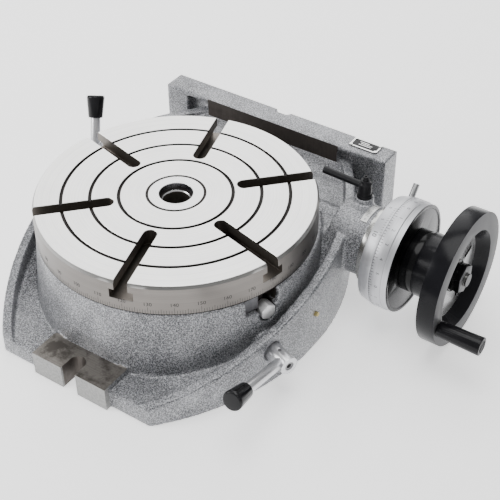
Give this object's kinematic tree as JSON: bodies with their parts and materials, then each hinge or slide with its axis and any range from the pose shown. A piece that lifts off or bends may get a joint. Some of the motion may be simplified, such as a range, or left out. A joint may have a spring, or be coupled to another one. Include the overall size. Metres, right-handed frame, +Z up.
{
  "type": "rotary table",
  "caption": "Worm-driven rotary table: a T-slotted disc on a cast base with an upright mounting plate, driven by a worm in an eccentric sleeve with a graduated dial and a handwheel.",
  "frame": {"origin": "on the table's axis in the plane of the base's bottom face", "axes": "+Z up along the table's axis, +Y towards the upright mounting plate, +X towards the handwheel"},
  "size_m": [0.4588, 0.3305, 0.1255],
  "materials": {
    "hammered_casting": "silver-grey hammered enamel over cast iron, with machined faces",
    "ground_iron": "fine ground cast iron with an oiled sheen",
    "ground_steel": "ground steel",
    "machined_steel": "turned steel, light oil",
    "steel_plate": "rolled steel plate",
    "fastener_steel": "oiled socket screws",
    "rivet_steel": "bright plated steel",
    "plate_black": "etched black plate with a bright border",
    "zero_plate_metal": "thin bright sheet",
    "oiler_brass": "turned brass",
    "bearing_bronze": "sintered bronze, oiled",
    "wheel_bronze": "cast bronze, cut teeth",
    "satin_chrome": "satin chrome with engraved black marks",
    "black_metal": "black oxide, satin",
    "black_wheel": "smooth black enamel",
    "black_grip": "smooth black phenolic",
    "black_lever": "fine black powder coat",
    "bright_lever": "turned light alloy, satin",
    "knob_plastic": "smooth black phenolic",
    "shoe_iron": "machined cast iron, oiled"
  },
  "bodies": {
    "base": {"base_casting": "hammered_casting", "bottom_cover": "steel_plate", "cover_screws": "fastener_steel", "name_plate": "plate_black", "plate_rivets": "rivet_steel", "zero_plate": "zero_plate_metal", "ball_oilers": "oiler_brass"},
    "table": {"table_disc": "ground_iron", "centre_sleeve": "ground_steel", "wheel_screws": "fastener_steel", "spindle_nut": "machined_steel", "nut_lock_screw": "fastener_steel", "thrust_washer": "bearing_bronze", "worm_wheel": "wheel_bronze"},
    "worm_sleeve": {"eccentric_sleeve": "ground_steel", "worm_bush_left": "bearing_bronze", "worm_bush_right": "bearing_bronze", "worm_bush_outer": "bearing_bronze", "vernier_collar": "satin_chrome", "collar_screws": "fastener_steel", "sleeve_turn_pin": "machined_steel"},
    "worm_shaft": {"worm_shaft": "ground_steel", "shaft_thrust_washer": "bearing_bronze", "shaft_lock_nuts": "fastener_steel", "dial_hub": "black_metal", "drive_spacer": "black_metal", "handwheel": "black_wheel", "handwheel_key": "machined_steel", "handwheel_washer": "black_metal", "handwheel_nut": "black_metal", "grip_axle": "rivet_steel"},
    "dial": {"graduated_dial": "satin_chrome"},
    "grip": {"grip_sleeve": "black_grip"},
    "clamp_front": {"clamp_screw_front": "machined_steel", "clamp_hub_front": "bright_lever", "clamp_end_screws_front": "fastener_steel", "clamp_arm_front": "bright_lever", "clamp_knob_front": "knob_plastic"},
    "shoe_front": {"clamp_shoe_front": "shoe_iron", "shoe_bolt_front": "rivet_steel"},
    "clamp_rear": {"clamp_screw_rear": "machined_steel", "clamp_hub_rear": "bright_lever", "clamp_end_screws_rear": "fastener_steel", "clamp_arm_rear": "bright_lever", "clamp_knob_rear": "knob_plastic"},
    "shoe_rear": {"clamp_shoe_rear": "shoe_iron", "shoe_bolt_rear": "rivet_steel"},
    "lock": {"lock_stud": "machined_steel", "lock_lever": "black_lever", "lock_screw": "black_lever"}
  },
  "joints": [
    {"name": "table_spin", "type": "hinge", "parent": "base", "child": "table", "pos_m": [0, 0, 0.0728], "axis": [0, 0, 1], "continuous": true},
    {"name": "sleeve_swing", "type": "hinge", "parent": "base", "child": "worm_sleeve", "pos_m": [0.152, 0.0893, 0.06155], "axis": [-1, 0, 0], "range_deg": [0, 90]},
    {"name": "worm_spin", "type": "hinge", "parent": "worm_sleeve", "child": "worm_shaft", "pos_m": [0.152, 0.088, 0.0638], "axis": [1, 0, 0], "continuous": true},
    {"name": "dial_zero", "type": "hinge", "parent": "worm_shaft", "child": "dial", "pos_m": [0.18, 0.088, 0.0638], "axis": [1, 0, 0], "continuous": true},
    {"name": "grip_spin", "type": "hinge", "parent": "worm_shaft", "child": "grip", "pos_m": [0.262, 0.0373, 0.04703], "axis": [1, 0, 0], "continuous": true},
    {"name": "clamp_front_turn", "type": "hinge", "parent": "base", "child": "clamp_front", "pos_m": [0.12177, -0.04553, 0.034], "axis": [-0.9367, 0.3502, 0], "range_deg": [-7.5, 52.5]},
    {"name": "shoe_front_pull", "type": "slide", "parent": "base", "child": "shoe_front", "axis": [0, 0, -1], "range_m": [-0.00013, 0.00088]},
    {"name": "clamp_rear_turn", "type": "hinge", "parent": "base", "child": "clamp_rear", "pos_m": [-0.12177, 0.04553, 0.034], "axis": [0.9367, -0.3502, 0], "range_deg": [-60, 0]},
    {"name": "shoe_rear_pull", "type": "slide", "parent": "base", "child": "shoe_rear", "axis": [0, 0, -1], "range_m": [-0.001, 0]},
    {"name": "lock_turn", "type": "hinge", "parent": "base", "child": "lock", "pos_m": [0.1325, 0.1, 0.11], "axis": [0, 0, 1], "range_deg": [-60, 0]}
  ],
  "couplings": [
    {"joint": "worm_spin", "follows": "table_spin", "ratio": 90},
    {"joint": "shoe_front_pull", "follows": "clamp_front_turn", "m_per_rad": 0.00095493},
    {"joint": "shoe_rear_pull", "follows": "clamp_rear_turn", "m_per_rad": 0.00095493}
  ]
}
